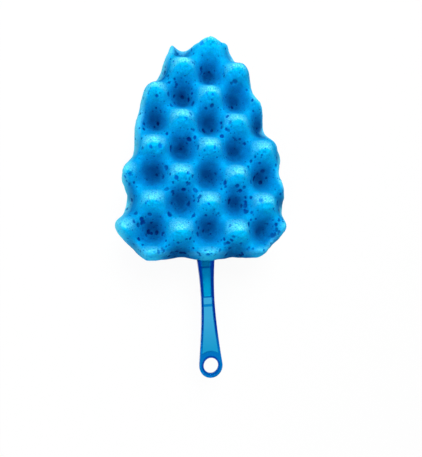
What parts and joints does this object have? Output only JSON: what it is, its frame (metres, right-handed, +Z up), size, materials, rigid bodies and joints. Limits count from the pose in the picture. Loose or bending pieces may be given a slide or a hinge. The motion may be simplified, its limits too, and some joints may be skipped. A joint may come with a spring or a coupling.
{
  "type": "car wash brush",
  "caption": "Hand wash brush: a bell-shaped head of two convoluted foam pads over a flat core blade, on a slim clear plastic grip that ends in a hanging ring.",
  "frame": {"origin": "middle of the brush's box, on the plane that it lies on", "axes": "+X across the brush, +Y along the grip from the hanging ring to the tip of the head, +Z up, out of the front foam pad"},
  "size_m": [0.186, 0.3714, 0.0872],
  "materials": {
    "clear_blue_plastic": "gloss",
    "blue_moulded_plastic": "satin",
    "blue_foam": "matte"
  },
  "bodies": {
    "root": {"grip": "clear_blue_plastic", "core_blade": "blue_moulded_plastic", "front_pad": "blue_foam", "back_pad": "blue_foam"}
  },
  "joints": []
}
